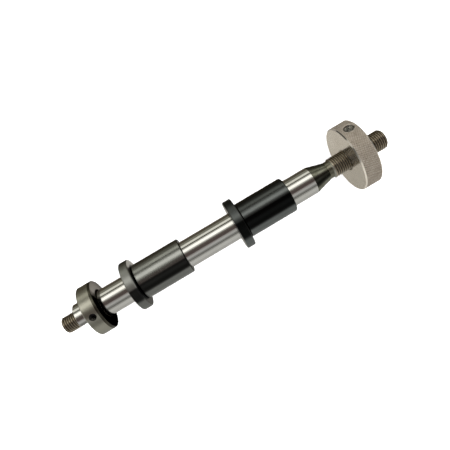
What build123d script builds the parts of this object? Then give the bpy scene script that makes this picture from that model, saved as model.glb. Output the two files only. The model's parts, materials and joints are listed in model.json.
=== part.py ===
from build123d import *
from math import cos, radians, sin
import os

# Two-spool spindle: a ground shaft along X with a stop collar, two flanged bushes and a knurled lock nut.
# The origin is on the shaft's axis, in the plane where the stop collar meets the bracket.
# +X runs out to the lock nut, +Z is up, and the journal's flat faces -Y.

# Shaft
shaft_radius = 8.0
journal_length = 6.9
journal_flat_height = 4.55
journal_flat_length = 7.9
journal_edge_break = 0.35
cone_start = 143.95
cone_end = 154.2
cone_shoulder_fillet = 6.0
neck_radius = 5.1
shaft_end = 191.2

# Threads, as plain cylinders over their crests
stub_crest_radius = 4.92
stub_length = 9.35
stub_tip_chamfer = 0.9
front_crest_radius = 5.88
front_thread_start = 157.1
front_lead_in = 0.7
front_tip_chamfer = 1.1

# Stop collar and its set screw, whose bearing turns from +Z towards +Y
collar_radius = 14.8
collar_width = 8.5
collar_edge_break = 0.35
collar_bevel_length = 1.3
collar_bevel_depth = 0.5
collar_bore_break = 0.3
collar_screw_bearing = -13.0
collar_screw_station = 4.0
collar_screw_radius = 1.95
collar_screw_length = 4.0
collar_screw_hex = 2.0

# Flanged bushes, from the face of each flange that looks towards the bracket
bush_stations = {"rear_flanged_bush": 26.65, "front_flanged_bush": 93.45}
flange_radius = 14.8
flange_width = 5.1
flange_edge_break = 0.45
sleeve_radius = 10.45
sleeve_length = 29.8
sleeve_end_break = 0.6
bush_bore_break = 0.35

# Lock nut, its set screw and the soft pad between the screw and the thread
nut_radius = 19.7
nut_width = 10.6
nut_station = 166.45
nut_edge_break = 0.6
nut_bore_break = 0.6
nut_screw_bearing = 46.0
nut_screw_station = 172.4
nut_screw_radius = 2.95
nut_screw_length = 8.0
nut_screw_hex = 3.0
nut_pad_radius = 2.8
nut_pad_thickness = 1.6

# Fits and small features
running_clearance = 0.04
screw_clearance = 0.05
seat_gap = 0.03
screw_edge_break = 0.3
hex_depth_share = 0.5
shoulder_search = 0.03

stub_tip = -journal_length - stub_length
collar_bore = shaft_radius + running_clearance
nut_bore = front_crest_radius + running_clearance
nut_pad_seat = nut_bore + seat_gap
nut_screw_seat = nut_pad_seat + nut_pad_thickness + seat_gap
collar_screw_seat = collar_bore + seat_gap


def radial_plane(station, bearing, height=0.0):
    """A plane across a radial hole, at this height from the shaft's axis."""
    outward = (0, sin(radians(bearing)), cos(radians(bearing)))
    return Plane(origin=(station, 0, 0), x_dir=(1, 0, 0), z_dir=outward).offset(height)


def ring_outline(start, width, bore, rim, bore_break, rim_break, bevel=None):
    """Half of a ring's section, in X and radius, with broken edges and an optional bevel at its +X rim."""
    end = start + width
    bevel_length, bevel_depth = bevel or (rim_break, rim_break)
    return [
        (start, bore + bore_break),
        (start, rim - rim_break),
        (start + rim_break, rim),
        (end - bevel_length, rim),
        (end, rim - bevel_depth),
        (end, bore + bore_break),
        (end - bore_break, bore),
        (start + bore_break, bore),
    ]


def bush_outline(start):
    """Half of a flanged bush's section, in X and radius."""
    flange_face = start + flange_width
    end = flange_face + sleeve_length
    bore = shaft_radius + running_clearance
    return [
        (start, bore + bush_bore_break),
        (start, flange_radius - flange_edge_break),
        (start + flange_edge_break, flange_radius),
        (flange_face - flange_edge_break, flange_radius),
        (flange_face, flange_radius - flange_edge_break),
        (flange_face, sleeve_radius),
        (end - sleeve_end_break, sleeve_radius),
        (end, sleeve_radius - sleeve_end_break),
        (end, bore + bush_bore_break),
        (end - bush_bore_break, bore),
        (start + bush_bore_break, bore),
    ]


def make_set_screw(station, bearing, seat, radius, length, hex_size):
    """A hexagon socket set screw that stands on its seat, pointing at the shaft."""
    with BuildPart() as screw:
        with BuildSketch(radial_plane(station, bearing, seat)):
            Circle(radius)
        extrude(amount=length)
        chamfer(screw.edges().filter_by(GeomType.CIRCLE), length=screw_edge_break)
        with BuildSketch(radial_plane(station, bearing, seat + length)):
            RegularPolygon(radius=hex_size / 2, side_count=6, major_radius=False)
        extrude(amount=-length * hex_depth_share, mode=Mode.SUBTRACT)
    return screw.part


def save(part, node):
    """Label a finished piece and write it under its node's name."""
    part.label = node
    export_step(part, f"parts/{node}.step")


os.makedirs("parts", exist_ok=True)

# Spindle shaft: threaded stub, flatted journal, ground length, cone, neck and front thread, in one piece
with BuildPart() as spindle_shaft:
    with BuildSketch():
        with BuildLine():
            Polyline(
                (stub_tip, 0),
                (stub_tip, stub_crest_radius - stub_tip_chamfer),
                (stub_tip + stub_tip_chamfer, stub_crest_radius),
                (-journal_length, stub_crest_radius),
                (-journal_length, shaft_radius - journal_edge_break),
                (-journal_length + journal_edge_break, shaft_radius),
                (cone_start, shaft_radius),
                (cone_end, neck_radius),
                (front_thread_start - front_lead_in, neck_radius),
                (front_thread_start, front_crest_radius),
                (shaft_end - front_tip_chamfer, front_crest_radius),
                (shaft_end, front_crest_radius - front_tip_chamfer),
                (shaft_end, 0),
                close=True,
            )
        make_face()
    revolve(axis=Axis.X)
    cone_shoulder = spindle_shaft.edges().filter_by(GeomType.CIRCLE).filter_by_position(
        Axis.X, cone_start - shoulder_search, cone_start + shoulder_search
    )
    fillet(cone_shoulder, radius=cone_shoulder_fillet)
    with BuildSketch(Plane.XZ.offset(journal_flat_height)):
        with Locations((journal_flat_length / 2 - journal_length, 0)):
            Rectangle(journal_flat_length, 2 * shaft_radius)
    extrude(amount=shaft_radius, mode=Mode.SUBTRACT)
save(spindle_shaft.part, "spindle_shaft")

# Stop collar: a plain ring with one tapped hole through its rim
with BuildPart() as stop_collar:
    with BuildSketch():
        with BuildLine():
            Polyline(
                *ring_outline(
                    0,
                    collar_width,
                    collar_bore,
                    collar_radius,
                    collar_bore_break,
                    collar_edge_break,
                    (collar_bevel_length, collar_bevel_depth),
                ),
                close=True,
            )
        make_face()
    revolve(axis=Axis.X)
    with BuildSketch(radial_plane(collar_screw_station, collar_screw_bearing)):
        Circle(collar_screw_radius + screw_clearance)
    extrude(amount=collar_radius, mode=Mode.SUBTRACT)
save(stop_collar.part, "stop_collar")

collar_set_screw = make_set_screw(
    collar_screw_station,
    collar_screw_bearing,
    collar_screw_seat,
    collar_screw_radius,
    collar_screw_length,
    collar_screw_hex,
)
save(collar_set_screw, "collar_set_screw")

# Flanged bushes: two alike, each turned with its flange towards the bracket
for node, station in bush_stations.items():
    with BuildPart() as flanged_bush:
        with BuildSketch():
            with BuildLine():
                Polyline(*bush_outline(station), close=True)
            make_face()
        revolve(axis=Axis.X)
    save(flanged_bush.part, node)

# Knurled lock nut: a ring that runs along the front thread, with one tapped hole through its rim
with BuildPart() as knurled_lock_nut:
    with BuildSketch():
        with BuildLine():
            Polyline(
                *ring_outline(nut_station, nut_width, nut_bore, nut_radius, nut_bore_break, nut_edge_break),
                close=True,
            )
        make_face()
    revolve(axis=Axis.X)
    with BuildSketch(radial_plane(nut_screw_station, nut_screw_bearing)):
        Circle(nut_screw_radius + screw_clearance)
    extrude(amount=nut_radius, mode=Mode.SUBTRACT)
save(knurled_lock_nut.part, "knurled_lock_nut")

nut_set_screw = make_set_screw(
    nut_screw_station,
    nut_screw_bearing,
    nut_screw_seat,
    nut_screw_radius,
    nut_screw_length,
    nut_screw_hex,
)
save(nut_set_screw, "nut_set_screw")

# Thread pad: a soft disc that the nut's set screw presses on the thread
with BuildPart() as nut_thread_pad:
    with BuildSketch(radial_plane(nut_screw_station, nut_screw_bearing, nut_pad_seat)):
        Circle(nut_pad_radius)
    extrude(amount=nut_pad_thickness)
save(nut_thread_pad.part, "nut_thread_pad")
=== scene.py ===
import json
import math

import bmesh
import bpy
import numpy as np
from mathutils import Matrix, Vector


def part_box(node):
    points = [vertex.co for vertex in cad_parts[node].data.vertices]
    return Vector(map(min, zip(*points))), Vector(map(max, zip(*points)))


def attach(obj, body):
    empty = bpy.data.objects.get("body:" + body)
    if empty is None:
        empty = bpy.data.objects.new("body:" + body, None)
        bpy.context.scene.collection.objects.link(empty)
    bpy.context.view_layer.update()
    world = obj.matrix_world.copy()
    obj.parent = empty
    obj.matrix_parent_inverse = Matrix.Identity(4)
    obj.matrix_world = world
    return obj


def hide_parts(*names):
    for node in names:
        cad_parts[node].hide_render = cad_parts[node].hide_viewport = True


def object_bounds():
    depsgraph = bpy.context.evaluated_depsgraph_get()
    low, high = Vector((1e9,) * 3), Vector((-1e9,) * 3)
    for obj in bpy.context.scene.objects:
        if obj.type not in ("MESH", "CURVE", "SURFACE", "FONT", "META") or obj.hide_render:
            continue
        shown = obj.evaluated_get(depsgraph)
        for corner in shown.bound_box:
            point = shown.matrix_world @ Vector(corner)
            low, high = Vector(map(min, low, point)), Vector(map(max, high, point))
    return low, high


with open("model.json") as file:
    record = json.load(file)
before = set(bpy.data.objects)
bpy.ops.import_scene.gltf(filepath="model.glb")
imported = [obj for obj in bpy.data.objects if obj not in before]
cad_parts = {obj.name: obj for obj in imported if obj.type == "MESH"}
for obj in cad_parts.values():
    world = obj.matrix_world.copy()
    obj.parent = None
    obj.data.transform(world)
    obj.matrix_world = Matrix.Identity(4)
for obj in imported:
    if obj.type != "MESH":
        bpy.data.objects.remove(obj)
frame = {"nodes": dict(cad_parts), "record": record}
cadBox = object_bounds()
mounts = {mount["name"]: mount for mount in frame["record"]["mounts"]}
mm = 0.001
fullTurn = 2 * math.pi
tiny = 1e-6
print("frame loaded:", len(frame["nodes"]), "nodes")


# Camera and studio

cameraView = {
    "alongShaft": 83.5,       # mm from the bracket plane to the foot of the view
    "distance": 246.5,        # mm from the shaft's axis
    "lens": 35.02,
    "sensor": 36.0,
    "yaw": 1.27,              # degrees
    "pitch": 0.74,
    "roll": -30.71,
}


def makeCamera(view):
    yaw, pitch, roll = (math.radians(view[key]) for key in ("yaw", "pitch", "roll"))
    ahead = Vector((math.sin(yaw) * math.cos(pitch), math.sin(pitch), -math.cos(yaw) * math.cos(pitch)))
    levelRight = Vector((math.cos(yaw), 0, math.sin(yaw)))
    levelUp = levelRight.cross(ahead)
    right = math.cos(roll) * levelRight + math.sin(roll) * levelUp
    up = -math.sin(roll) * levelRight + math.cos(roll) * levelUp
    data = bpy.data.cameras.new("benchCamera")
    data.lens = view["lens"]
    data.sensor_width = view["sensor"]
    data.clip_start = 0.01
    camera = bpy.data.objects.new("benchCamera", data)
    bpy.context.scene.collection.objects.link(camera)
    turn = Matrix((right, up, -ahead)).transposed().to_4x4()
    camera.matrix_world = Matrix.Translation((view["alongShaft"] * mm, 0, view["distance"] * mm)) @ turn
    bpy.context.scene.camera = camera
    return camera


studio = {
    "floorTone": (0.92, 0.92, 0.92),
    "floorSize": 6.0,
    "worldLight": 2.6,
    "worldInGloss": 0.55,
    "tunnelRadius": 0.5,
    "tunnelLength": 4.0,
}

# Strips of card round the shaft, which only glossy surfaces see.
# Each runs from one bearing to another, in degrees from overhead towards -Y, and has a tone.
cards = [
    (-180, -165, (0.66, 0.63, 0.57)),
    (-165, -128, (0.10, 0.085, 0.06)),
    (-128, -108, (0.085, 0.075, 0.055)),
    (-108, -84, (0.20, 0.195, 0.16)),
    (-84, -64, (0.78, 0.78, 0.70)),
    (-64, -53, (0.10, 0.095, 0.08)),
    (-53, -44, (0.50, 0.50, 0.45)),
    (-44, -22, (1.35, 1.34, 1.27)),
    (-22, -13, (0.50, 0.50, 0.46)),
    (-13, -3, (0.13, 0.11, 0.10)),
    (-3, 19, (0.09, 0.072, 0.066)),
    (19, 27, (0.28, 0.26, 0.25)),
    (27, 44, (0.42, 0.42, 0.41)),
    (44, 54, (0.24, 0.24, 0.23)),
    (54, 63, (0.15, 0.15, 0.14)),
    (63, 74, (0.33, 0.33, 0.31)),
    (74, 108, (0.54, 0.54, 0.52)),
    (108, 150, (0.45, 0.45, 0.43)),
    (150, 165, (0.38, 0.38, 0.36)),
    (165, 180, (0.50, 0.48, 0.43)),
]


def emissionMaterial(name, tone):
    material = bpy.data.materials.new(name)
    material.use_nodes = True
    nodes = material.node_tree.nodes
    nodes.clear()
    glow = nodes.new("ShaderNodeEmission")
    glow.inputs["Color"].default_value = (*tone, 1)
    out = nodes.new("ShaderNodeOutputMaterial")
    material.node_tree.links.new(glow.outputs[0], out.inputs["Surface"])
    return material


def makeCards(bands, values):
    mesh = bpy.data.meshes.new("studioCards")
    build = bmesh.new()
    middle = cameraView["alongShaft"] * mm
    half = values["tunnelLength"] / 2
    for index, (low, high, tone) in enumerate(bands):
        mesh.materials.append(emissionMaterial(f"card{index}", tone))
        steps = max(1, round((high - low) / 10))
        for step in range(steps):
            corners = []
            for share, side in ((step, -half), (step + 1, -half), (step + 1, half), (step, half)):
                bearing = math.radians(low + (high - low) * share / steps)
                y = -values["tunnelRadius"] * math.sin(bearing)
                z = values["tunnelRadius"] * math.cos(bearing)
                corners.append(build.verts.new((middle + side, y, z)))
            build.faces.new(corners).material_index = index
    build.to_mesh(mesh)
    build.free()
    tunnel = bpy.data.objects.new("studioCards", mesh)
    bpy.context.scene.collection.objects.link(tunnel)
    tunnel.visible_camera = False
    tunnel.visible_diffuse = False
    tunnel.visible_shadow = False
    tunnel.visible_transmission = False


def makeStudio(values):
    size = values["floorSize"]
    floorMesh = bpy.data.meshes.new("floor")
    height = cadBox[0].z
    corners = [(-size, -size, height), (size, -size, height), (size, size, height), (-size, size, height)]
    floorMesh.from_pydata(corners, [], [(0, 1, 2, 3)])
    floor = bpy.data.objects.new("floor", floorMesh)
    bpy.context.scene.collection.objects.link(floor)
    paint = bpy.data.materials.new("paleFloor")
    paint.use_nodes = True
    shader = paint.node_tree.nodes["Principled BSDF"]
    shader.inputs["Base Color"].default_value = (*values["floorTone"], 1)
    shader.inputs["Roughness"].default_value = 0.9
    shader.inputs["Specular IOR Level"].default_value = 0.1
    floorMesh.materials.append(paint)
    floor.visible_glossy = False

    world = bpy.data.worlds.new("softRoom")
    bpy.context.scene.world = world
    world.use_nodes = True
    nodes, links = world.node_tree.nodes, world.node_tree.links
    background = nodes["Background"]
    background.inputs["Color"].default_value = (1, 1, 1, 1)
    path = nodes.new("ShaderNodeLightPath")
    level = nodes.new("ShaderNodeMapRange")
    level.inputs["To Min"].default_value = values["worldLight"]
    level.inputs["To Max"].default_value = values["worldInGloss"]
    links.new(path.outputs["Is Glossy Ray"], level.inputs["Value"])
    links.new(level.outputs[0], background.inputs["Strength"])
    bpy.context.scene.view_settings.view_transform = "Standard"


makeCamera(cameraView)
makeStudio(studio)
makeCards(cards, studio)
print("camera and studio ready")


# Mesh tools

def link(name, mesh):
    piece = bpy.data.objects.new(name, mesh)
    bpy.context.scene.collection.objects.link(piece)
    return piece


def easedCorner(before, corner, after, reach, steps=4):
    # replaces a corner of an outline by a short curve that starts and ends this far from it
    toBefore = Vector(before) - Vector(corner)
    toAfter = Vector(after) - Vector(corner)
    start = Vector(corner) + toBefore.normalized() * reach
    end = Vector(corner) + toAfter.normalized() * reach
    points = []
    for step in range(steps + 1):
        share = step / steps
        points.append(tuple(start.lerp(Vector(corner), share).lerp(Vector(corner).lerp(end, share), share)))
    return points


def refined(outline, low, high, step):
    # adds points to an outline where it runs between two stations
    points = [outline[0]]
    for start, end in zip(outline, outline[1:]):
        inside = low - step < min(start[0], end[0]) and max(start[0], end[0]) < high + step
        count = max(1, math.ceil(math.dist(start, end) / step)) if inside else 1
        for part in range(1, count + 1):
            share = part / count
            station = start[0] + (end[0] - start[0]) * share
            points.append((station, start[1] + (end[1] - start[1]) * share))
    return points


def revolved(name, outline, segments, closed=False, bearings=None):
    # turns an outline of (station, radius) in mm about the shaft's axis; a zero radius makes a pole
    build = bmesh.new()
    rings = []
    for station, radius in outline:
        if radius < tiny:
            rings.append([build.verts.new((station * mm, 0, 0))])
            continue
        turns = [fullTurn * index / segments for index in range(segments)]
        if bearings:
            turns = [bearings(turn) for turn in turns]
        ring = [(station * mm, radius * mm * math.sin(turn), radius * mm * math.cos(turn)) for turn in turns]
        rings.append([build.verts.new(point) for point in ring])
    pairs = list(zip(rings, rings[1:])) + ([(rings[-1], rings[0])] if closed else [])
    for first, second in pairs:
        for index in range(segments):
            after = (index + 1) % segments
            if len(first) == 1:
                build.faces.new((first[0], second[index], second[after]))
            elif len(second) == 1:
                build.faces.new((first[index], second[0], first[after]))
            else:
                build.faces.new((first[index], second[index], second[after], first[after]))
    bmesh.ops.recalc_face_normals(build, faces=build.faces)
    mesh = bpy.data.meshes.new(name)
    build.to_mesh(mesh)
    build.free()
    return link(name, mesh)


def baked(piece):
    # the evaluated mesh takes the place of the piece's own, and its modifiers go
    view = bpy.context.evaluated_depsgraph_get()
    source = piece.evaluated_get(view)
    mesh = bpy.data.meshes.new_from_object(source, preserve_all_data_layers=True, depsgraph=view)
    piece.modifiers.clear()
    old = piece.data
    piece.data = mesh
    mesh.name = piece.name
    bpy.data.meshes.remove(old)
    return piece


def withNodes(piece, tree, values):
    modifier = piece.modifiers.new(tree.name, "NODES")
    modifier.node_group = tree
    for item in tree.interface.items_tree:
        if item.item_type == "SOCKET" and item.in_out == "INPUT" and item.name in values:
            modifier[item.identifier] = values[item.name]
    return baked(piece)


def cutBy(piece, cutter):
    modifier = piece.modifiers.new("cut", "BOOLEAN")
    modifier.operation = "DIFFERENCE"
    modifier.solver = "EXACT"
    modifier.object = cutter
    baked(piece)
    cutterMesh = cutter.data
    bpy.data.objects.remove(cutter)
    bpy.data.meshes.remove(cutterMesh)
    return piece


def smoothed(piece, sharpFrom=28):
    piece.data.shade_smooth()
    piece.data.set_sharp_from_angle(angle=math.radians(sharpFrom))
    return piece


faceOn = 0.97    # a normal at least this far along the shaft belongs to a flat end face


def dress(piece, materials, choose):
    # one material for each face, chosen from its middle station and radius in mm, and its normal
    piece.data.materials.clear()
    for material in materials.values():
        piece.data.materials.append(material)
    order = list(materials)
    for face in piece.data.polygons:
        radius = math.hypot(face.center.y, face.center.z) / mm
        face.material_index = order.index(choose(face.center.x / mm, radius, face.normal, face.center))


# Node tools, which work in geometry trees and in materials

def calc(tree, operation, *values, clamp=False):
    node = tree.nodes.new("ShaderNodeMath")
    node.operation = operation
    node.use_clamp = clamp
    for socket, value in zip(node.inputs, values):
        if isinstance(value, bpy.types.NodeSocket):
            tree.links.new(value, socket)
        else:
            socket.default_value = value
    return node.outputs[0]


def remap(tree, value, fromLow, fromHigh, toLow, toHigh):
    node = tree.nodes.new("ShaderNodeMapRange")
    for label, setting in (("Value", value), ("From Min", fromLow), ("From Max", fromHigh),
                           ("To Min", toLow), ("To Max", toHigh)):
        if isinstance(setting, bpy.types.NodeSocket):
            tree.links.new(setting, node.inputs[label])
        else:
            node.inputs[label].default_value = setting
    return node.outputs[0]


def polar(tree, vector):
    # a position's station along the shaft, radius, and turn from +Z towards +Y as a share of a full turn
    parts = tree.nodes.new("ShaderNodeSeparateXYZ")
    tree.links.new(vector, parts.inputs[0])
    x, y, z = parts.outputs
    square = calc(tree, "ADD", calc(tree, "MULTIPLY", y, y), calc(tree, "MULTIPLY", z, z))
    radius = calc(tree, "SQRT", square)
    turn = calc(tree, "DIVIDE", calc(tree, "ARCTAN2", y, z), fullTurn)
    return x, y, z, radius, turn


def newGeometryTree(name, numbers):
    tree = bpy.data.node_groups.new(name, "GeometryNodeTree")
    tree.interface.new_socket("Geometry", in_out="INPUT", socket_type="NodeSocketGeometry")
    for label, value in numbers.items():
        socket = tree.interface.new_socket(label, in_out="INPUT", socket_type="NodeSocketFloat")
        socket.default_value = value
    tree.interface.new_socket("Material", in_out="INPUT", socket_type="NodeSocketMaterial")
    tree.interface.new_socket("Geometry", in_out="OUTPUT", socket_type="NodeSocketGeometry")
    return tree, tree.nodes.new("NodeGroupInput"), tree.nodes.new("NodeGroupOutput")


def closeRadialTree(tree, given, result, zone, scale, attribute, value, parts):
    # moves the points of the zone in or out, keeps a mask for the material, and ends the tree
    x, y, z = parts
    place = tree.nodes.new("ShaderNodeCombineXYZ")
    tree.links.new(x, place.inputs[0])
    tree.links.new(calc(tree, "MULTIPLY", y, scale), place.inputs[1])
    tree.links.new(calc(tree, "MULTIPLY", z, scale), place.inputs[2])
    store = tree.nodes.new("GeometryNodeStoreNamedAttribute")
    store.data_type = "FLOAT"
    store.domain = "POINT"
    store.inputs["Name"].default_value = attribute
    tree.links.new(given.outputs["Geometry"], store.inputs["Geometry"])
    tree.links.new(calc(tree, "MULTIPLY", value, zone), store.inputs["Value"])
    move = tree.nodes.new("GeometryNodeSetPosition")
    tree.links.new(store.outputs[0], move.inputs["Geometry"])
    tree.links.new(zone, move.inputs["Selection"])
    tree.links.new(place.outputs[0], move.inputs["Position"])
    realize = tree.nodes.new("GeometryNodeRealizeInstances")
    tree.links.new(move.outputs[0], realize.inputs[0])
    finish = tree.nodes.new("GeometryNodeSetMaterial")
    tree.links.new(realize.outputs[0], finish.inputs["Geometry"])
    tree.links.new(given.outputs["Material"], finish.inputs["Material"])
    tree.links.new(finish.outputs[0], result.inputs[0])


def triangleWave(tree, value):
    # 1 at whole numbers and 0 half way between them
    doubled = calc(tree, "MULTIPLY", calc(tree, "FRACT", value), 2.0)
    return calc(tree, "ABSOLUTE", calc(tree, "SUBTRACT", doubled, 1.0))


def zoneOf(tree, x, given):
    after = calc(tree, "GREATER_THAN", x, given.outputs["From"])
    before = calc(tree, "LESS_THAN", x, given.outputs["To"])
    return calc(tree, "MULTIPLY", after, before)


threadForm = {"crestEnds": 0.2, "rootStarts": 0.88}    # shares of half a pitch
knurlNoise = {"scale": 700.0, "detail": 3.0}


def makeThreadTree():
    # cuts a right-hand vee thread into the points of a turned surface
    tree, given, result = newGeometryTree("cutThread", {
        "Pitch": 1.25 * mm, "Depth": 0.7 * mm, "Crest Radius": 5 * mm,
        "From": 0.0, "To": 0.1, "Run Out From": 0.0, "Run Out To": 0.001,
    })
    position = tree.nodes.new("GeometryNodeInputPosition").outputs[0]
    x, y, z, radius, turn = polar(tree, position)
    along = calc(tree, "ADD", calc(tree, "DIVIDE", x, given.outputs["Pitch"]), turn)
    wave = triangleWave(tree, along)
    groove = remap(tree, wave, threadForm["crestEnds"], threadForm["rootStarts"], 1.0, 0.0)
    full = remap(tree, x, given.outputs["Run Out From"], given.outputs["Run Out To"], 0.0, 1.0)
    groove = calc(tree, "MULTIPLY", groove, full)
    sunk = calc(tree, "MULTIPLY", groove, given.outputs["Depth"])
    cut = calc(tree, "SUBTRACT", given.outputs["Crest Radius"], sunk)
    newRadius = calc(tree, "MINIMUM", radius, cut)
    scale = calc(tree, "DIVIDE", newRadius, calc(tree, "MAXIMUM", radius, tiny))
    closeRadialTree(tree, given, result, zoneOf(tree, x, given), scale, "groove", groove, (x, y, z))
    return tree


def makeKnurlTree():
    # rolls a worn diamond knurl into the rim of a ring
    tree, given, result = newGeometryTree("rollKnurl", {
        "Teeth": 100.0, "Pitch": 1.25 * mm, "Depth": 0.2 * mm, "Rim Radius": 20 * mm, "Crest Width": 0.3,
        "From": 0.0, "To": 0.01, "Edge Fade": 0.0005, "Wear": 0.4, "Seed": 3.0,
    })
    position = tree.nodes.new("GeometryNodeInputPosition").outputs[0]
    x, y, z, radius, turn = polar(tree, position)
    around = calc(tree, "MULTIPLY", turn, given.outputs["Teeth"])
    along = calc(tree, "DIVIDE", calc(tree, "SUBTRACT", x, given.outputs["From"]), given.outputs["Pitch"])
    ridges = []
    for way in ("ADD", "SUBTRACT"):
        ridges.append(triangleWave(tree, calc(tree, way, around, along)))
    diamond = calc(tree, "MINIMUM", *ridges)
    top = calc(tree, "SUBTRACT", 1.0, given.outputs["Crest Width"])
    height = calc(tree, "DIVIDE", calc(tree, "MINIMUM", diamond, top), top)
    noise = tree.nodes.new("ShaderNodeTexNoise")
    noise.noise_dimensions = "4D"
    noise.inputs["Scale"].default_value = knurlNoise["scale"]
    noise.inputs["Detail"].default_value = knurlNoise["detail"]
    tree.links.new(position, noise.inputs["Vector"])
    tree.links.new(given.outputs["Seed"], noise.inputs["W"])
    worn = calc(tree, "MULTIPLY", calc(tree, "SUBTRACT", noise.outputs[0], 0.5), given.outputs["Wear"])
    height = calc(tree, "ADD", height, worn, clamp=True)
    first, last, fade = (given.outputs[label] for label in ("From", "To", "Edge Fade"))
    start = remap(tree, x, first, calc(tree, "ADD", first, fade), 1.0, 0.0)
    end = remap(tree, x, calc(tree, "SUBTRACT", last, fade), last, 0.0, 1.0)
    edge = calc(tree, "MAXIMUM", start, end)
    low = calc(tree, "MULTIPLY", calc(tree, "SUBTRACT", 1.0, height), calc(tree, "SUBTRACT", 1.0, edge))
    onRim = calc(tree, "GREATER_THAN", radius, calc(tree, "SUBTRACT", given.outputs["Rim Radius"], 1e-5))
    zone = calc(tree, "MULTIPLY", zoneOf(tree, x, given), onRim)
    newRadius = calc(tree, "SUBTRACT", radius, calc(tree, "MULTIPLY", low, given.outputs["Depth"]))
    scale = calc(tree, "DIVIDE", newRadius, calc(tree, "MAXIMUM", radius, tiny))
    closeRadialTree(tree, given, result, zone, scale, "groove", low, (x, y, z))
    return tree


threadTree = makeThreadTree()
knurlTree = makeKnurlTree()
print("geometry trees ready")


# Shader groups and materials

def newShaderGroup(name, numbers, outputs):
    tree = bpy.data.node_groups.new(name, "ShaderNodeTree")
    for label, value in numbers.items():
        socket = tree.interface.new_socket(label, in_out="INPUT", socket_type="NodeSocketFloat")
        socket.default_value = value
    for label in outputs:
        tree.interface.new_socket(label, in_out="OUTPUT", socket_type="NodeSocketFloat")
    return tree, tree.nodes.new("NodeGroupInput"), tree.nodes.new("NodeGroupOutput")


def noiseOver(tree, vector, detail=4.0, roughness=0.55):
    noise = tree.nodes.new("ShaderNodeTexNoise")
    noise.inputs["Scale"].default_value = 1.0
    noise.inputs["Detail"].default_value = detail
    noise.inputs["Roughness"].default_value = roughness
    tree.links.new(vector, noise.inputs["Vector"])
    return noise.outputs[0]


def stretched(tree, x, y, z):
    place = tree.nodes.new("ShaderNodeCombineXYZ")
    for socket, value in zip(place.inputs, (x, y, z)):
        if isinstance(value, bpy.types.NodeSocket):
            tree.links.new(value, socket)
        else:
            socket.default_value = value
    return place.outputs[0]


def makeToolMarks():
    # rings left by turning or grinding: fine lines across the shaft and round its faces
    tree, given, result = newShaderGroup("toolMarks", {"Fineness": 4000.0, "Along": 2.0}, ("Lines", "Sweeps"))
    coordinate = tree.nodes.new("ShaderNodeTexCoord").outputs["Object"]
    x, _, _, radius, turn = polar(tree, coordinate)
    wave = calc(tree, "SINE", calc(tree, "MULTIPLY", turn, fullTurn))
    other = calc(tree, "COSINE", calc(tree, "MULTIPLY", turn, fullTurn))
    fine = calc(tree, "ADD", calc(tree, "MULTIPLY", x, given.outputs["Fineness"]),
                calc(tree, "MULTIPLY", radius, given.outputs["Fineness"]))
    lines = noiseOver(tree, stretched(tree, fine, calc(tree, "MULTIPLY", wave, given.outputs["Along"]),
                                      calc(tree, "MULTIPLY", other, given.outputs["Along"])))
    coarse = calc(tree, "MULTIPLY", fine, 0.06)
    sweeps = noiseOver(tree, stretched(tree, coarse, wave, other), detail=2.0)
    tree.links.new(lines, result.inputs["Lines"])
    tree.links.new(sweeps, result.inputs["Sweeps"])
    return tree


def makeHandling():
    # smudges and small stains from oil and hands
    numbers = {"Size": 90.0, "Low": 0.35, "High": 0.75}
    tree, given, result = newShaderGroup("handling", numbers, ("Smudge", "Specks"))
    coordinate = tree.nodes.new("ShaderNodeTexCoord").outputs["Object"]
    scaled = tree.nodes.new("ShaderNodeVectorMath")
    scaled.operation = "SCALE"
    tree.links.new(coordinate, scaled.inputs[0])
    tree.links.new(given.outputs["Size"], scaled.inputs["Scale"])
    blotches = noiseOver(tree, scaled.outputs[0], detail=5.0)
    smudge = remap(tree, blotches, given.outputs["Low"], given.outputs["High"], 0.0, 1.0)
    finer = tree.nodes.new("ShaderNodeVectorMath")
    finer.operation = "SCALE"
    tree.links.new(scaled.outputs[0], finer.inputs[0])
    finer.inputs["Scale"].default_value = 22.0
    specks = remap(tree, noiseOver(tree, finer.outputs[0], detail=2.0), 0.35, 0.7, 0.0, 1.0)
    tree.links.new(smudge, result.inputs["Smudge"])
    tree.links.new(specks, result.inputs["Specks"])
    return tree


def makeFormWear():
    # brightens what the hand and the bench rub, from how sharply the surface turns there
    tree, given, result = newShaderGroup("edgeWear", {"Width": 0.0004, "Strength": 1.0}, ("Wear",))
    bevel = tree.nodes.new("ShaderNodeBevel")
    bevel.samples = 4
    tree.links.new(given.outputs["Width"], bevel.inputs["Radius"])
    shape = tree.nodes.new("ShaderNodeNewGeometry")
    compare = tree.nodes.new("ShaderNodeVectorMath")
    compare.operation = "DOT_PRODUCT"
    tree.links.new(bevel.outputs[0], compare.inputs[0])
    tree.links.new(shape.outputs["Normal"], compare.inputs[1])
    wear = remap(tree, compare.outputs["Value"], 1.0, 0.93, 0.0, 1.0)
    tree.links.new(calc(tree, "MULTIPLY", wear, given.outputs["Strength"]), result.inputs["Wear"])
    return tree


toolMarks = makeToolMarks()
handling = makeHandling()
edgeWear = makeFormWear()


def placeGroup(tree, group, **values):
    node = tree.nodes.new("ShaderNodeGroup")
    node.node_tree = group
    for label, value in values.items():
        node.inputs[label].default_value = value
    return node.outputs


def mixTone(tree, share, first, second):
    node = tree.nodes.new("ShaderNodeMix")
    node.data_type = "RGBA"
    for socket, value in ((node.inputs[0], share), (node.inputs[6], first), (node.inputs[7], second)):
        if isinstance(value, bpy.types.NodeSocket):
            tree.links.new(value, socket)
        elif isinstance(value, tuple):
            socket.default_value = (*value, 1)
        else:
            socket.default_value = value
    return node.outputs[2]


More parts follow.
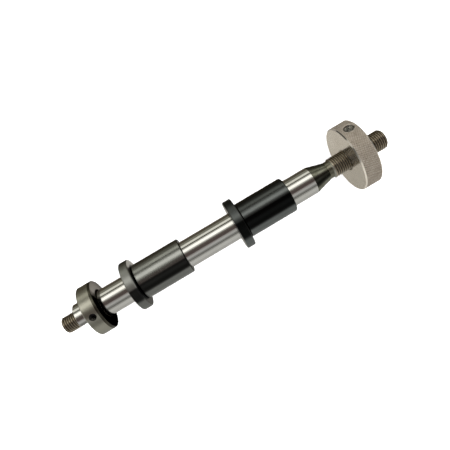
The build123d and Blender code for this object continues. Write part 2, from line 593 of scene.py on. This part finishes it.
def rampOver(tree, value, low, high, stops):
    # a factor that follows these stops as the value goes from low to high
    node = tree.nodes.new("ShaderNodeValToRGB")
    tree.links.new(remap(tree, value, low, high, 0.0, 1.0), node.inputs[0])
    node.color_ramp.interpolation = "EASE"
    elements = node.color_ramp.elements
    while len(elements) < len(stops):
        elements.new(0.5)
    for element, (place, level) in zip(elements, sorted(stops)):
        element.position = (place - low) / (high - low)
    for element, (place, level) in zip(elements, sorted(stops)):
        element.color = (level, level, level, 1)
    return node.outputs[0]


def scaledTone(tree, tone, factor):
    node = tree.nodes.new("ShaderNodeVectorMath")
    node.operation = "MULTIPLY"
    tree.links.new(tone, node.inputs[0])
    tree.links.new(factor, node.inputs[1])
    return node.outputs[0]


# what a finish has where its own values don't say otherwise
usualFinish = {
    "metallic": 1.0, "edgeTint": (1, 1, 1), "smudgeSize": 90.0, "smudge": 0.5, "specks": 0.15,
    "sweeps": 0.15, "wearWidth": 0.0003, "wear": 0.6, "grooveShadeShare": 0.8, "roughSmudge": 0.05,
    "roughSweeps": 0.04, "bump": 0.2, "bumpDepth": 0.00001, "grit": 0.2,
}
# the ramp over radius paints shade next to the shaft
rampReach = 0.02    # metres from the shaft's axis that a ramp over radius spans


def metal(name, own):
    # steel with tool marks, smudges and bright edges, and where asked painted light and shade round and near
    # the shaft, from one dictionary of values
    f = usualFinish | own
    material = bpy.data.materials.new(name)
    material.use_nodes = True
    tree = material.node_tree
    shader = tree.nodes["Principled BSDF"]
    shader.inputs["Metallic"].default_value = f["metallic"]
    shader.inputs["Specular Tint"].default_value = (*f["edgeTint"], 1)
    marks = placeGroup(tree, toolMarks, Fineness=f["fineness"])
    hands = placeGroup(tree, handling, Size=f["smudgeSize"])
    wear = placeGroup(tree, edgeWear, Width=f["wearWidth"], Strength=f["wear"])
    tone = mixTone(tree, calc(tree, "MULTIPLY", hands["Smudge"], f["smudge"]), f["tone"], f["stain"])
    tone = mixTone(tree, calc(tree, "MULTIPLY", hands["Specks"], f["specks"]), tone, f["stain"])
    tone = mixTone(tree, calc(tree, "MULTIPLY", marks["Sweeps"], f["sweeps"]), tone, f["stain"])
    # painted shade: the stored groove mask darkens the roots of threads and the valleys of knurls
    if "grooveShadeTone" in f:
        groove = tree.nodes.new("ShaderNodeAttribute")
        groove.attribute_name = "groove"
        depth = calc(tree, "MULTIPLY", groove.outputs["Fac"], f["grooveShadeShare"], clamp=True)
        tone = mixTone(tree, depth, tone, f["grooveShadeTone"])
    tone = mixTone(tree, wear["Wear"], tone, f["edge"])
    coordinate = tree.nodes.new("ShaderNodeTexCoord").outputs["Object"]
    _, _, _, radius, turn = polar(tree, coordinate)
    # painted light and shade: a ramp over the bearing round the shaft scales the tone, painting bright and
    # dark reflection bands and the shaft's shadow into the colour
    if "paintedLightAroundShaft" in f:
        bearing = calc(tree, "MULTIPLY", turn, -360.0)    # degrees from +Z towards -Y
        tone = scaledTone(tree, tone, rampOver(tree, bearing, -180.0, 180.0, f["paintedLightAroundShaft"]))
    # painted shade: a ramp over the radius darkens a face next to the shaft, for the shaft's shadow and dark
    # reflection there
    if "paintedShadeNearShaft" in f:
        tone = scaledTone(tree, tone, rampOver(tree, radius, 0.0, rampReach, f["paintedShadeNearShaft"]))
    tree.links.new(tone, shader.inputs["Base Color"])
    rough = calc(tree, "ADD", calc(tree, "MULTIPLY", hands["Smudge"], f["roughSmudge"]), f["roughness"])
    rough = calc(tree, "ADD", rough, calc(tree, "MULTIPLY", marks["Sweeps"], f["roughSweeps"]))
    tree.links.new(rough, shader.inputs["Roughness"])
    bump = tree.nodes.new("ShaderNodeBump")
    bump.inputs["Strength"].default_value = f["bump"]
    bump.inputs["Distance"].default_value = f["bumpDepth"]
    height = calc(tree, "ADD", marks["Lines"], calc(tree, "MULTIPLY", hands["Specks"], f["grit"]))
    tree.links.new(height, bump.inputs["Height"])
    tree.links.new(bump.outputs[0], shader.inputs["Normal"])
    return material


finishes = {
    "groundSteel": {
        "tone": (0.8, 0.79, 0.76), "stain": (0.66, 0.64, 0.59), "edge": (0.9, 0.89, 0.86),
        "roughness": 0.07, "fineness": 5200.0, "smudge": 0.35, "bump": 0.15,
    },
    "turnedSteel": {
        "tone": (0.27, 0.27, 0.22), "stain": (0.13, 0.13, 0.09), "edge": (0.62, 0.62, 0.58),
        "roughness": 0.2, "fineness": 2600.0, "bump": 0.5, "bumpDepth": 0.00002, "smudge": 0.9,
        "smudgeSize": 260.0,
        # painted reflections: the cone's tone goes light and dark in bands by bearing round the shaft
        "paintedLightAroundShaft": [
            (-90, 0.5), (-50, 0.6), (-32, 1.0), (-8, 0.9), (8, 0.3), (30, 0.1), (38, 0.25), (48, 1.2),
            (90, 1.4),
        ],
    },
    "neckSteel": {
        "tone": (0.27, 0.26, 0.2), "stain": (0.18, 0.165, 0.12), "edge": (0.6, 0.6, 0.56),
        "roughness": 0.26, "fineness": 2600.0, "bump": 0.5, "bumpDepth": 0.00002,
    },
    "threadSteel": {
        "tone": (0.7, 0.61, 0.48), "stain": (0.36, 0.29, 0.2), "edge": (0.8, 0.74, 0.64),
        # painted shade in the thread's roots
        "grooveShadeTone": (0.07, 0.055, 0.035), "grooveShadeShare": 1.0, "roughness": 0.28, "fineness": 3000.0,
        "smudge": 0.7,
    },
    "satinSteel": {
        "tone": (0.5, 0.49, 0.42), "stain": (0.36, 0.34, 0.27), "edge": (0.75, 0.74, 0.69),
        "roughness": 0.27, "fineness": 2600.0, "bump": 0.45, "bumpDepth": 0.00002,
    },
    # painted reflection: the collar's outer chamfer has a near-black tone for the dark surroundings it
    # reflects
    "collarBevel": {
        "tone": (0.11, 0.105, 0.08), "stain": (0.07, 0.065, 0.05), "edge": (0.22, 0.22, 0.19),
        "roughness": 0.24, "fineness": 2600.0, "wear": 0.3,
    },
    "collarFace": {
        "tone": (0.62, 0.6, 0.58), "stain": (0.5, 0.49, 0.47), "edge": (0.2, 0.2, 0.2), "wear": 0.2,
        "edgeTint": (0.1, 0.1, 0.1), "roughness": 0.3, "fineness": 2600.0,
        # painted shade: the face is near black next to the shaft and on its side towards -Y, which the shaft
        # shades, and light towards +Y
        "paintedShadeNearShaft": [(0.0086, 0.03), (0.0096, 1.0)],
        "paintedLightAroundShaft": [(-55, 1.3), (-40, 0.7), (-28, 0.03), (0, 0.01), (150, 0.01), (170, 0.5)],
    },
    "blackOxideWorn": {
        "tone": (0.41, 0.415, 0.39), "stain": (0.34, 0.345, 0.33), "edge": (0.46, 0.46, 0.45),
        "roughness": 0.19, "fineness": 2400.0, "bump": 0.4, "bumpDepth": 0.00002,
        # painted reflections: the bush's tone goes light and dark in bands by bearing round the shaft
        "paintedLightAroundShaft": [(-75, 0.3), (-50, 0.9), (3, 1.0), (9, 0.08), (34, 0.07), (44, 0.6), (90, 0.8)],
    },
    "blackOxideFresh": {
        "tone": (0.155, 0.166, 0.162), "stain": (0.11, 0.118, 0.116), "edge": (0.2, 0.2, 0.2),
        "roughness": 0.2, "fineness": 2400.0, "bump": 0.4, "bumpDepth": 0.00002,
        # painted reflections: the bush's tone goes light and dark in bands by bearing round the shaft
        "paintedLightAroundShaft": [
            (-60, 0.25), (-25, 0.8), (-15, 1.0), (-4, 0.5), (0, 0.08), (34, 0.1), (46, 1.3), (90, 1.6),
        ],
    },
    "flangeFace": {
        "tone": (0.6, 0.6, 0.59), "stain": (0.5, 0.5, 0.49), "edge": (0.6, 0.6, 0.58),
        "roughness": 0.34, "fineness": 2400.0, "bump": 0.4, "bumpDepth": 0.00002,
        # painted shade: the flange face is near black next to the sleeve and on its side towards -Y, and
        # light towards +Y
        "paintedShadeNearShaft": [(0.0107, 0.03), (0.0118, 1.0)],
        "paintedLightAroundShaft": [(-60, 1.0), (-45, 0.3), (-35, 0.03), (150, 0.02), (170, 0.5)],
    },
    "nutFace": {
        "tone": (0.64, 0.6, 0.53), "stain": (0.55, 0.5, 0.43), "edge": (0.8, 0.77, 0.7),
        "metallic": 0.97, "roughness": 0.15, "fineness": 2200.0, "bump": 0.02, "grit": 0.0,
        "specks": 0.0, "sweeps": 0.05, "roughSmudge": 0.08,
    },
    "nutEdge": {
        "tone": (0.52, 0.48, 0.41), "stain": (0.4, 0.36, 0.3), "edge": (0.6, 0.57, 0.5),
        "metallic": 0.7, "roughness": 0.3, "fineness": 2200.0,
        # painted reflections: the nut edge's tone goes light and dark in bands by bearing round the shaft
        "paintedLightAroundShaft": [
            (-60, 0.8), (-54, 0.2), (-30, 0.16), (-24, 0.8), (-14, 0.8), (-8, 0.2), (10, 0.5),
            (20, 1.3), (90, 1.2),
        ],
    },
    "nutKnurl": {
        "tone": (0.6, 0.53, 0.44), "stain": (0.15, 0.12, 0.09), "edge": (0.74, 0.68, 0.59),
        # painted shade in the knurl's valleys
        "metallic": 0.7, "grooveShadeTone": (0.12, 0.095, 0.07), "grooveShadeShare": 0.85, "roughness": 0.42,
        "fineness": 1500.0, "smudge": 0.4, "smudgeSize": 260.0, "specks": 0.9, "bump": 0.9,
        "bumpDepth": 0.00003, "grit": 1.8,
    },
    "screwBlack": {
        "tone": (0.06, 0.06, 0.062), "stain": (0.035, 0.035, 0.035), "edge": (0.16, 0.16, 0.16),
        "roughness": 0.33, "fineness": 3000.0,
    },
    # painted shade: the walls of the collar's hole and bore are near black, for the shade inside the hole
    "collarHole": {
        "tone": (0.05, 0.047, 0.04), "stain": (0.03, 0.028, 0.024), "edge": (0.2, 0.19, 0.17),
        "edgeTint": (0.2, 0.2, 0.2), "roughness": 0.35, "fineness": 2500.0,
    },
    "nutHole": {
        "tone": (0.46, 0.44, 0.39), "stain": (0.16, 0.14, 0.1), "edge": (0.9, 0.88, 0.84),
        "metallic": 0.95, "roughness": 0.2, "fineness": 2500.0, "specks": 0.5, "smudgeSize": 60.0,
        # painted shade in the hole's thread
        "grooveShadeTone": (0.05, 0.045, 0.03),
    },
    "padBrass": {
        "tone": (0.66, 0.47, 0.2), "stain": (0.42, 0.29, 0.12), "edge": (0.8, 0.62, 0.3),
        "roughness": 0.3, "fineness": 2500.0,
    },
}
# the rougher rims keep the bushes' painted reflection bands
finishes["wornRim"] = finishes["blackOxideWorn"] | {"roughness": 0.36}
finishes["freshRim"] = finishes["blackOxideFresh"] | {"roughness": 0.36}
finish = {name: metal(name, values) for name, values in finishes.items()}
print("materials ready:", len(finish))


# Spindle shaft

spindle = {
    "radius": 8.0,
    "flatHeight": 4.55,
    "flatEnd": 1.0,
    "journalEnd": -6.9,
    "edgeBreak": 0.35,
    "stubCrest": mounts["threaded_stub"]["dims"]["r_mm"],
    "stubTipChamfer": 0.9,
    "stubPitch": 1.25,
    "stubDepth": 0.74,
    "coneStart": 143.95,
    "coneEnd": 154.2,
    "shoulderReach": 0.9,
    "neckRadius": 5.1,
    "threadStart": 157.1,
    "threadLeadIn": 0.7,
    "frontCrest": 5.88,
    "frontPitch": 1.25,
    "frontDepth": 0.74,
    "frontTipChamfer": 1.1,
    "rowStep": 0.13,
    "segments": 192,
}


def makeSpindle(s):
    low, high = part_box("spindle_shaft")
    start, end = low.x / mm, high.x / mm
    r, stub, front = s["radius"], s["stubCrest"], s["frontCrest"]
    coneStart, coneEnd = (s["coneStart"], r), (s["coneEnd"], s["neckRadius"])
    neckEnd = (s["threadStart"] - s["threadLeadIn"], s["neckRadius"])
    stubOutline = [
        (start, 0),
        (start, stub - s["stubTipChamfer"]),
        (start + s["stubTipChamfer"], stub),
        (s["journalEnd"], stub),
    ]
    outline = refined(stubOutline, start, s["journalEnd"], s["rowStep"]) + [
        (s["journalEnd"], r - s["edgeBreak"]),
        (s["journalEnd"] + s["edgeBreak"], r),
        (s["flatEnd"], r),
        (s["flatEnd"] + 0.001, r),
        *easedCorner((s["flatEnd"], r), coneStart, coneEnd, s["shoulderReach"], 6),
        *easedCorner(coneStart, coneEnd, neckEnd, s["shoulderReach"] / 2),
        neckEnd,
        (s["threadStart"], front),
        (end - s["frontTipChamfer"], front),
        (end, front - s["frontTipChamfer"]),
        (end, 0),
    ]
    outline = refined(outline, neckEnd[0], end, s["rowStep"])
    halfFlat = math.acos(s["flatHeight"] / r)
    edgeIndex = round(halfFlat / (fullTurn / s["segments"]))
    snapped = edgeIndex * fullTurn / s["segments"]

    def journalBearing(turn):
        # turns are crowded so that a column of points lies on each edge of the flat, which faces -Y
        away = (turn - 1.5 * math.pi + math.pi) % fullTurn - math.pi
        size = abs(away)
        if size <= snapped:
            size = size * halfFlat / snapped
        else:
            size = math.pi - (math.pi - size) * (math.pi - halfFlat) / (math.pi - snapped)
        return 1.5 * math.pi + math.copysign(size, away)

    piece = revolved("spindleShaft", outline, s["segments"], bearings=journalBearing)
    for vertex in piece.data.vertices:
        station, radius = vertex.co.x / mm, math.hypot(vertex.co.y, vertex.co.z) / mm
        onJournal = s["journalEnd"] - 0.001 < station < s["flatEnd"] + 0.0005 and radius > stub + 0.01
        if onJournal and vertex.co.y < -s["flatHeight"] * mm:
            vertex.co.y = -s["flatHeight"] * mm
    withNodes(piece, threadTree, {
        "Pitch": s["stubPitch"] * mm, "Depth": s["stubDepth"] * mm, "Crest Radius": stub * mm,
        "From": (start - 1) * mm, "To": (s["journalEnd"] - 0.05) * mm,
        "Run Out From": (s["journalEnd"] - 0.1) * mm, "Run Out To": (s["journalEnd"] - 0.7) * mm,
    })
    mesh = piece.data
    first = mesh.attributes["groove"]
    kept = np.zeros(len(mesh.vertices), np.float32)
    first.data.foreach_get("value", kept)
    withNodes(piece, threadTree, {
        "Pitch": s["frontPitch"] * mm, "Depth": s["frontDepth"] * mm, "Crest Radius": front * mm,
        "From": (neckEnd[0] + 0.01) * mm, "To": (end + 1) * mm,
        "Run Out From": (s["threadStart"] + 0.1) * mm, "Run Out To": (s["threadStart"] + 0.9) * mm,
    })
    second = np.zeros(len(piece.data.vertices), np.float32)
    piece.data.attributes["groove"].data.foreach_get("value", second)
    piece.data.attributes["groove"].data.foreach_set("value", np.maximum(kept, second))

    def choose(station, radius, normal, centre):
        if station < s["journalEnd"] - 0.02 or station > s["threadStart"] + 0.02:
            return "threadSteel"
        # painted highlight: the thread's lead-in takes the lighter satin steel, which shows as a bright ring
        if station > neckEnd[0] - 0.02:
            return "satinSteel"
        if station > s["coneEnd"] - 0.6:
            return "neckSteel"
        if station > s["coneStart"] - 0.45:
            return "turnedSteel"
        return "groundSteel"

    used = ("groundSteel", "turnedSteel", "neckSteel", "satinSteel", "threadSteel")
    dress(piece, {key: finish[key] for key in used}, choose)
    smoothed(piece)
    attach(piece, "spindle")
    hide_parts("spindle_shaft")
    return piece


makeSpindle(spindle)
print("spindle shaft done")


# Tapped holes and set screws

screwBreak = 0.35     # mm, on a set screw's ends
cutterSpare = 0.5     # mm that a cutter stands past what it cuts


def tappedCutter(station, bearing, inner, outer, major, pitch, mouth, mouthBreak):
    # a threaded plug along a radial hole, with a cone that breaks the hole's mouth
    threadEnd, widest = mouth - mouthBreak, major + mouthBreak * 2
    outline = [
        (inner, 0), (inner, major), (threadEnd, major),
        (mouth + mouthBreak, widest), (outer, widest), (outer, 0),
    ]
    outline = outline[:1] + refined(outline[1:], inner, threadEnd, pitch / 8)
    cutter = revolved("holeCutter", outline, 64)
    withNodes(cutter, threadTree, {
        "Pitch": pitch * mm, "Depth": pitch * 0.5 * mm, "Crest Radius": major * mm,
        "From": (inner + 0.01) * mm, "To": (threadEnd - 0.01) * mm,
        "Run Out From": threadEnd * mm, "Run Out To": (threadEnd - pitch) * mm,
    })
    for vertex in cutter.data.vertices:
        vertex.co = radialPlace(station, bearing, vertex.co)
    return cutter


def radialPlace(station, bearing, point):
    # turns a point drawn along X onto a radial axis; the bearing is in degrees from +Z towards +Y
    turn = math.radians(bearing)
    outward = Vector((0, math.sin(turn), math.cos(turn)))
    side = Vector((0, math.cos(turn), -math.sin(turn)))
    return Vector((station * mm, 0, 0)) + outward * point.x + Vector((1, 0, 0)) * point.y + side * point.z


def holeCutter(s, rim):
    # the cutter for a ring's own radial hole, from inside its bore to past its rim
    hole = s["hole"]
    inner, outer = s["bore"] - 1.5, rim + 2
    return tappedCutter(s["holeStation"], hole["bearing"], inner, outer, hole["major"], hole["pitch"], rim,
                        hole["mouthBreak"])


def makeSetScrew(name, node, s, station):
    seat, top, radius = s["seat"], s["seat"] + s["length"], s["radius"]
    outline = [
        (seat + screwBreak, 0), (seat, radius * 0.45), (seat + radius * 0.35, radius * 0.82),
        (seat + radius * 0.5, radius), (top - screwBreak, radius), (top, radius - screwBreak), (top, 0),
    ]
    piece = revolved(name, outline, 64)
    across = s["hex"] / 2 / math.cos(math.pi / 6)
    bottom, above = top - s["socketDepth"], top + cutterSpare
    socketOutline = [(bottom - across * 0.3, 0), (bottom, across), (above, across), (above, 0)]
    socket = revolved("socketCutter", socketOutline, 6)
    cutBy(piece, socket)
    for vertex in piece.data.vertices:
        vertex.co = radialPlace(station, s["bearing"], vertex.co)
    build = bmesh.new()
    build.from_mesh(piece.data)
    bmesh.ops.recalc_face_normals(build, faces=build.faces)
    build.to_mesh(piece.data)
    build.free()
    piece.data.materials.clear()
    piece.data.materials.append(finish["screwBlack"])
    smoothed(piece)
    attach(piece, s["body"])
    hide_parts(node)
    return piece


# Stop collar

collar = {
    "bore": 8.04,
    "edgeBreak": 0.4,
    "bevel": (1.3, 0.5),
    "cornerPull": (0.2, 0.1),
    "cornerReach": 0.3,
    "boreBreak": 0.3,
    "segments": 256,
    "holeStation": 4.0,
    "hole": {"bearing": -13.0, "major": 2.0, "pitch": 0.7, "mouthBreak": 0.15},
    "screw": {"bearing": -13.0, "radius": 1.62, "length": 4.0, "seat": 8.07, "hex": 1.9, "socketDepth": 1.8,
              "body": "collar_screw"},
}


def ringOutline(node, s):
    low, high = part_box(node)
    start, end, rim = low.x / mm, high.x / mm, high.z / mm
    bore, edge, inner = s["bore"], s["edgeBreak"], s["boreBreak"]
    bevelLength, bevelDepth = s.get("bevel", (edge, edge))
    return start, end, rim, [
        (start, bore + inner), (start, rim - edge), (start + edge, rim), (end - bevelLength, rim),
        (end, rim - bevelDepth), (end, bore + inner), (end - inner, bore), (start + inner, bore),
    ]


def makeCollar(s):
    _, end, rim, outline = ringOutline("stop_collar", s)
    pullBack, pullIn = s["cornerPull"]
    corner = easedCorner(outline[3], (end - pullBack, rim - pullIn), outline[4], s["cornerReach"])
    outline = outline[:4] + corner + outline[4:]
    piece = revolved("stopCollar", outline, s["segments"], closed=True)
    cutBy(piece, holeCutter(s, rim))

    def choose(station, radius, normal, centre):
        if abs(normal.x) > faceOn and radius > s["bore"]:
            return "collarFace"
        if station > end - s["bevel"][0] and normal.x > 0.02 and radius > rim - s["bevel"][1] - 0.1:
            return "collarBevel"
        outward = Vector((0, centre.y, centre.z)).normalized().dot(normal)
        onRim = radius > rim - s["edgeBreak"] - 0.1 and (outward > 0.8 or normal.x < -0.4)
        return "satinSteel" if onRim else "collarHole"

    used = ("satinSteel", "collarBevel", "collarFace", "collarHole")
    dress(piece, {key: finish[key] for key in used}, choose)
    smoothed(piece)
    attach(piece, "collar")
    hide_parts("stop_collar")
    makeSetScrew("collarSetScrew", "collar_set_screw", s["screw"], s["holeStation"])


makeCollar(collar)
print("stop collar done")


# Flanged bushes

bushes = {
    "rearFlangedBush": {"node": "rear_flanged_bush", "body": "rear_bush", "mount": "rear_sleeve",
                        "finish": "blackOxideWorn", "rim": "wornRim"},
    "frontFlangedBush": {"node": "front_flanged_bush", "body": "front_bush", "mount": "front_sleeve",
                         "finish": "blackOxideFresh", "rim": "freshRim"},
}
bushForm = {"flangeWidth": 5.1, "edgeBreak": 0.45, "bore": 8.04, "boreBreak": 0.35, "sleeveEase": 0.9,
            "rootRelief": 0.18, "reliefWidth": 0.7, "segments": 256}


def makeBush(name, choice, s):
    low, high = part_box(choice["node"])
    start, end, rim = low.x / mm, high.x / mm, high.z / mm
    sleeve = mounts[choice["mount"]]["dims"]["r_mm"]
    face, edge, inner = start + s["flangeWidth"], s["edgeBreak"], s["boreBreak"]
    outline = [
        (start, s["bore"] + inner), (start, rim - edge), (start + edge, rim), (face - edge, rim),
        (face, rim - edge),
        (face, sleeve - s["rootRelief"]), (face + s["reliefWidth"], sleeve - s["rootRelief"]),
        (face + s["reliefWidth"] + s["rootRelief"], sleeve),
        *easedCorner((face, sleeve), (end, sleeve), (end, s["bore"]), s["sleeveEase"], 6),
        (end, s["bore"] + inner), (end - inner, s["bore"]), (start + inner, s["bore"]),
    ]
    piece = revolved(name, outline, s["segments"], closed=True)

    def choose(station, radius, normal, centre):
        onRoot = face - 0.1 < station < face + s["reliefWidth"] + s["rootRelief"] and radius < sleeve + 0.1
        if normal.x > faceOn or onRoot or station > end - 0.4:
            return "flangeFace"
        return choice["rim"] if radius > rim - 0.6 else choice["finish"]

    dress(piece, {key: finish[key] for key in (choice["finish"], choice["rim"], "flangeFace")}, choose)
    smoothed(piece)
    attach(piece, choice["body"])
    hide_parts(choice["node"])


for bushName, bushChoice in bushes.items():
    makeBush(bushName, bushChoice, bushForm)
print("bushes done")


# Knurled lock nut

lockNut = {
    "bore": 5.92,
    "edgeBreak": 0.6,
    "holeStation": 172.4,
    "boreBreak": 0.7,
    "segments": 768,
    "teeth": 96.0,
    "knurlDepth": 0.22,
    "rowStep": 0.16,
    "hole": {"bearing": 46.0, "major": 3.0, "pitch": 1.0, "mouthBreak": 0.7},
    "screw": {"bearing": 46.0, "radius": 2.45, "length": 8.0, "seat": 7.58, "hex": 3.0, "socketDepth": 3.4,
              "body": "nut_screw"},
}


def makeNut(s):
    start, end, rim, outline = ringOutline("knurled_lock_nut", s)
    rimPart = refined([outline[2], outline[3]], start, end, s["rowStep"])
    outline = outline[:2] + rimPart + outline[4:]
    piece = revolved("knurledLockNut", outline, s["segments"], closed=True)
    edge = s["edgeBreak"]
    withNodes(piece, knurlTree, {
        "Teeth": s["teeth"], "Pitch": fullTurn * rim / s["teeth"] * mm, "Depth": s["knurlDepth"] * mm,
        "Rim Radius": rim * mm, "From": (start + edge - 0.01) * mm, "To": (end - edge + 0.01) * mm,
        "Edge Fade": 0.3 * mm, "Wear": 1.1, "Seed": 3.0, "Crest Width": 0.3,
    })
    cutBy(piece, holeCutter(s, rim))

    def choose(station, radius, normal, centre):
        if abs(normal.x) > faceOn and radius > s["bore"] + 0.1 and not start + 0.1 < station < end - 0.1:
            return "nutFace"
        outward = Vector((0, centre.y, centre.z)).normalized().dot(normal)
        if radius > rim - 0.5 and outward > 0.3 and start + edge < station < end - edge:
            return "nutKnurl"
        if radius > rim - edge - 0.1 and abs(normal.x) > 0.3:
            return "nutEdge"
        return "nutFace" if radius < s["bore"] + 1 else "nutHole"

    dress(piece, {key: finish[key] for key in ("nutKnurl", "nutFace", "nutEdge", "nutHole")}, choose)
    smoothed(piece, 40)
    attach(piece, "nut")
    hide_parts("knurled_lock_nut")
    makeSetScrew("nutSetScrew", "nut_set_screw", s["screw"], s["holeStation"])


makeNut(lockNut)
pad = frame["nodes"]["nut_thread_pad"]
pad.data.materials.clear()
pad.data.materials.append(finish["padBrass"])
print("lock nut done")
